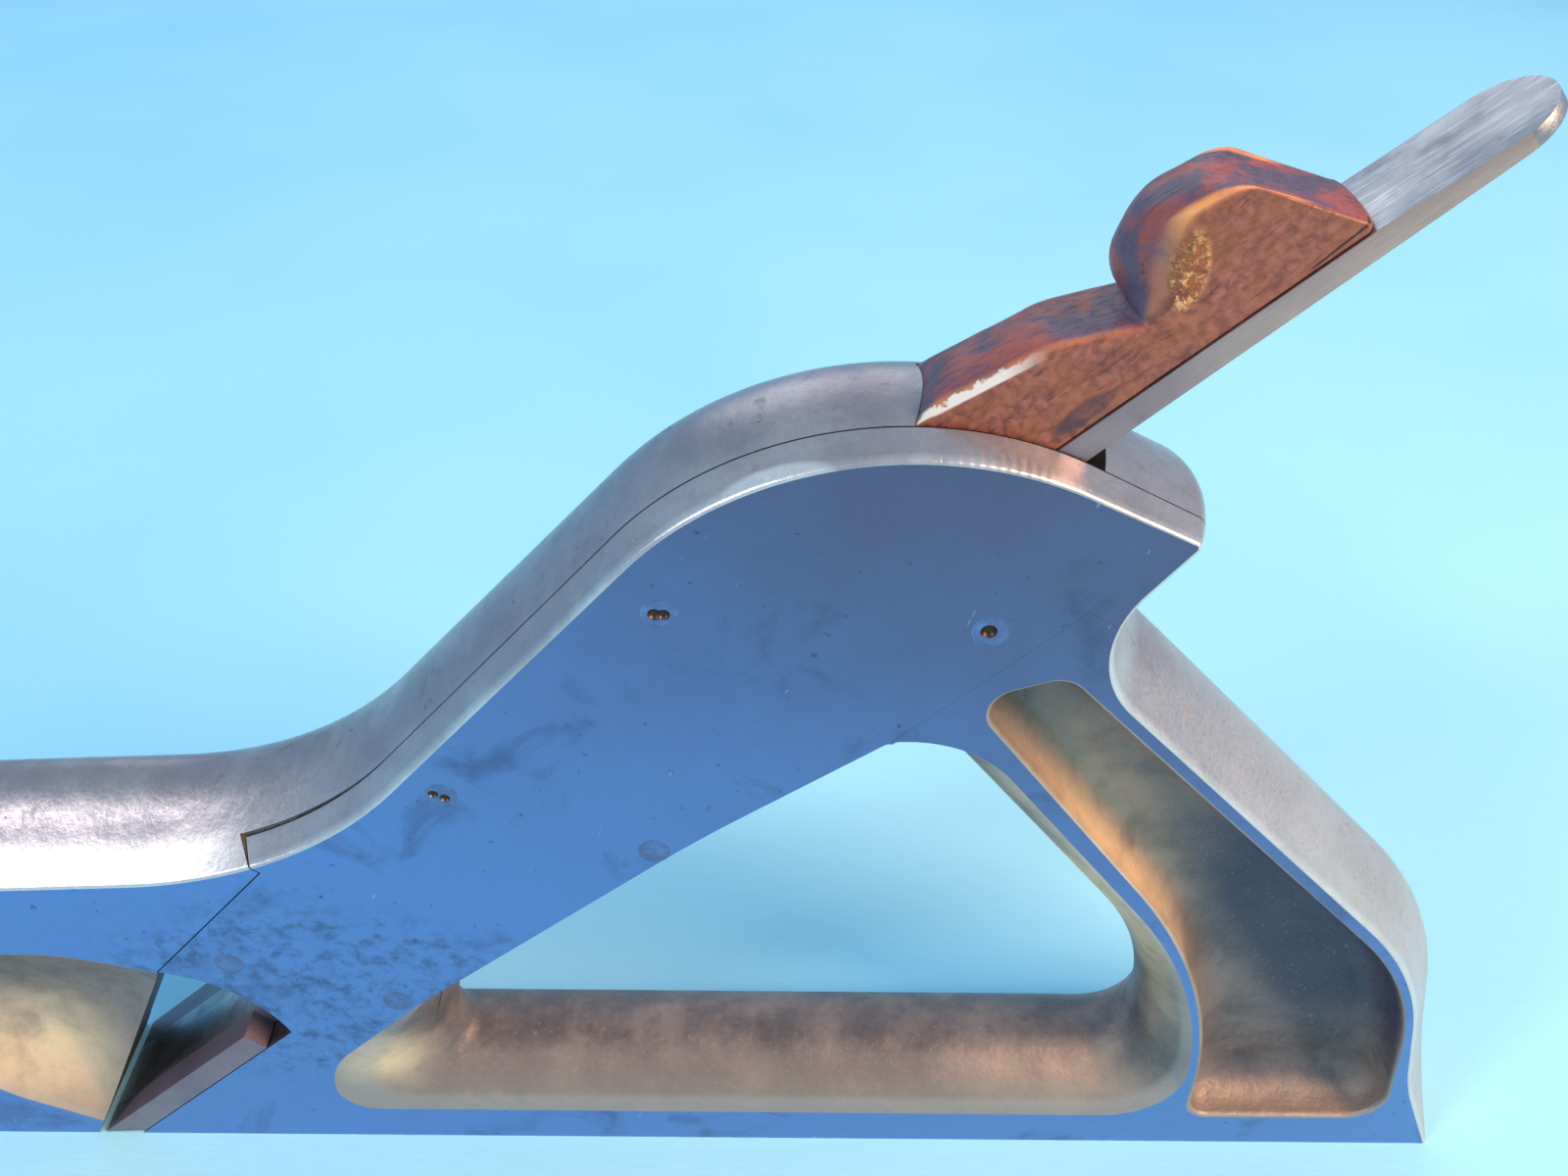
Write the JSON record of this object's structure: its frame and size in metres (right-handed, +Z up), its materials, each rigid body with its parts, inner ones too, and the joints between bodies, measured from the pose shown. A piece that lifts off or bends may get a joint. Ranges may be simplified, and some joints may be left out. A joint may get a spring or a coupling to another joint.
{
  "type": "rabbet plane",
  "caption": "Cast rabbet plane with a riveted side plate, an open strut handle, a full width blade and a carved wooden wedge.",
  "frame": {"origin": "middle of the flat sole, half way between nose and heel and on the mid plane of the width", "axes": "+X along the sole towards the heel, +Y from the side with the side plate to the far side, +Z up, away from the sole"},
  "size_m": [0.2522, 0.016, 0.1325],
  "materials": {
    "casting": "flat sides ground to a satin shine, rounded edges left as cast, brown with age",
    "side_plate": "flat face ground to a satin shine with dark stains",
    "blade": "worn, scratched grey steel",
    "wedge": "worn hardwood with dark patina",
    "pins": "filed flush with the sides"
  },
  "bodies": {
    "plane_body": {"casting": "casting", "side_plate": "side_plate", "pin_crown": "pins", "pin_tail": "pins", "pin_flank": "pins", "pin_middle": "pins", "pin_toe": "pins", "pin_low": "pins"},
    "blade": {"blade": "blade"},
    "wedge": {"wedge": "wedge"}
  },
  "joints": [
    {"name": "blade_slide", "type": "slide", "parent": "plane_body", "child": "blade", "axis": [0.7242, 0, 0.6896], "range_m": [-0.02, 0.004]},
    {"name": "wedge_slide", "type": "slide", "parent": "plane_body", "child": "wedge", "axis": [0.7242, 0, 0.6896], "range_m": [0, 0.105]}
  ]
}
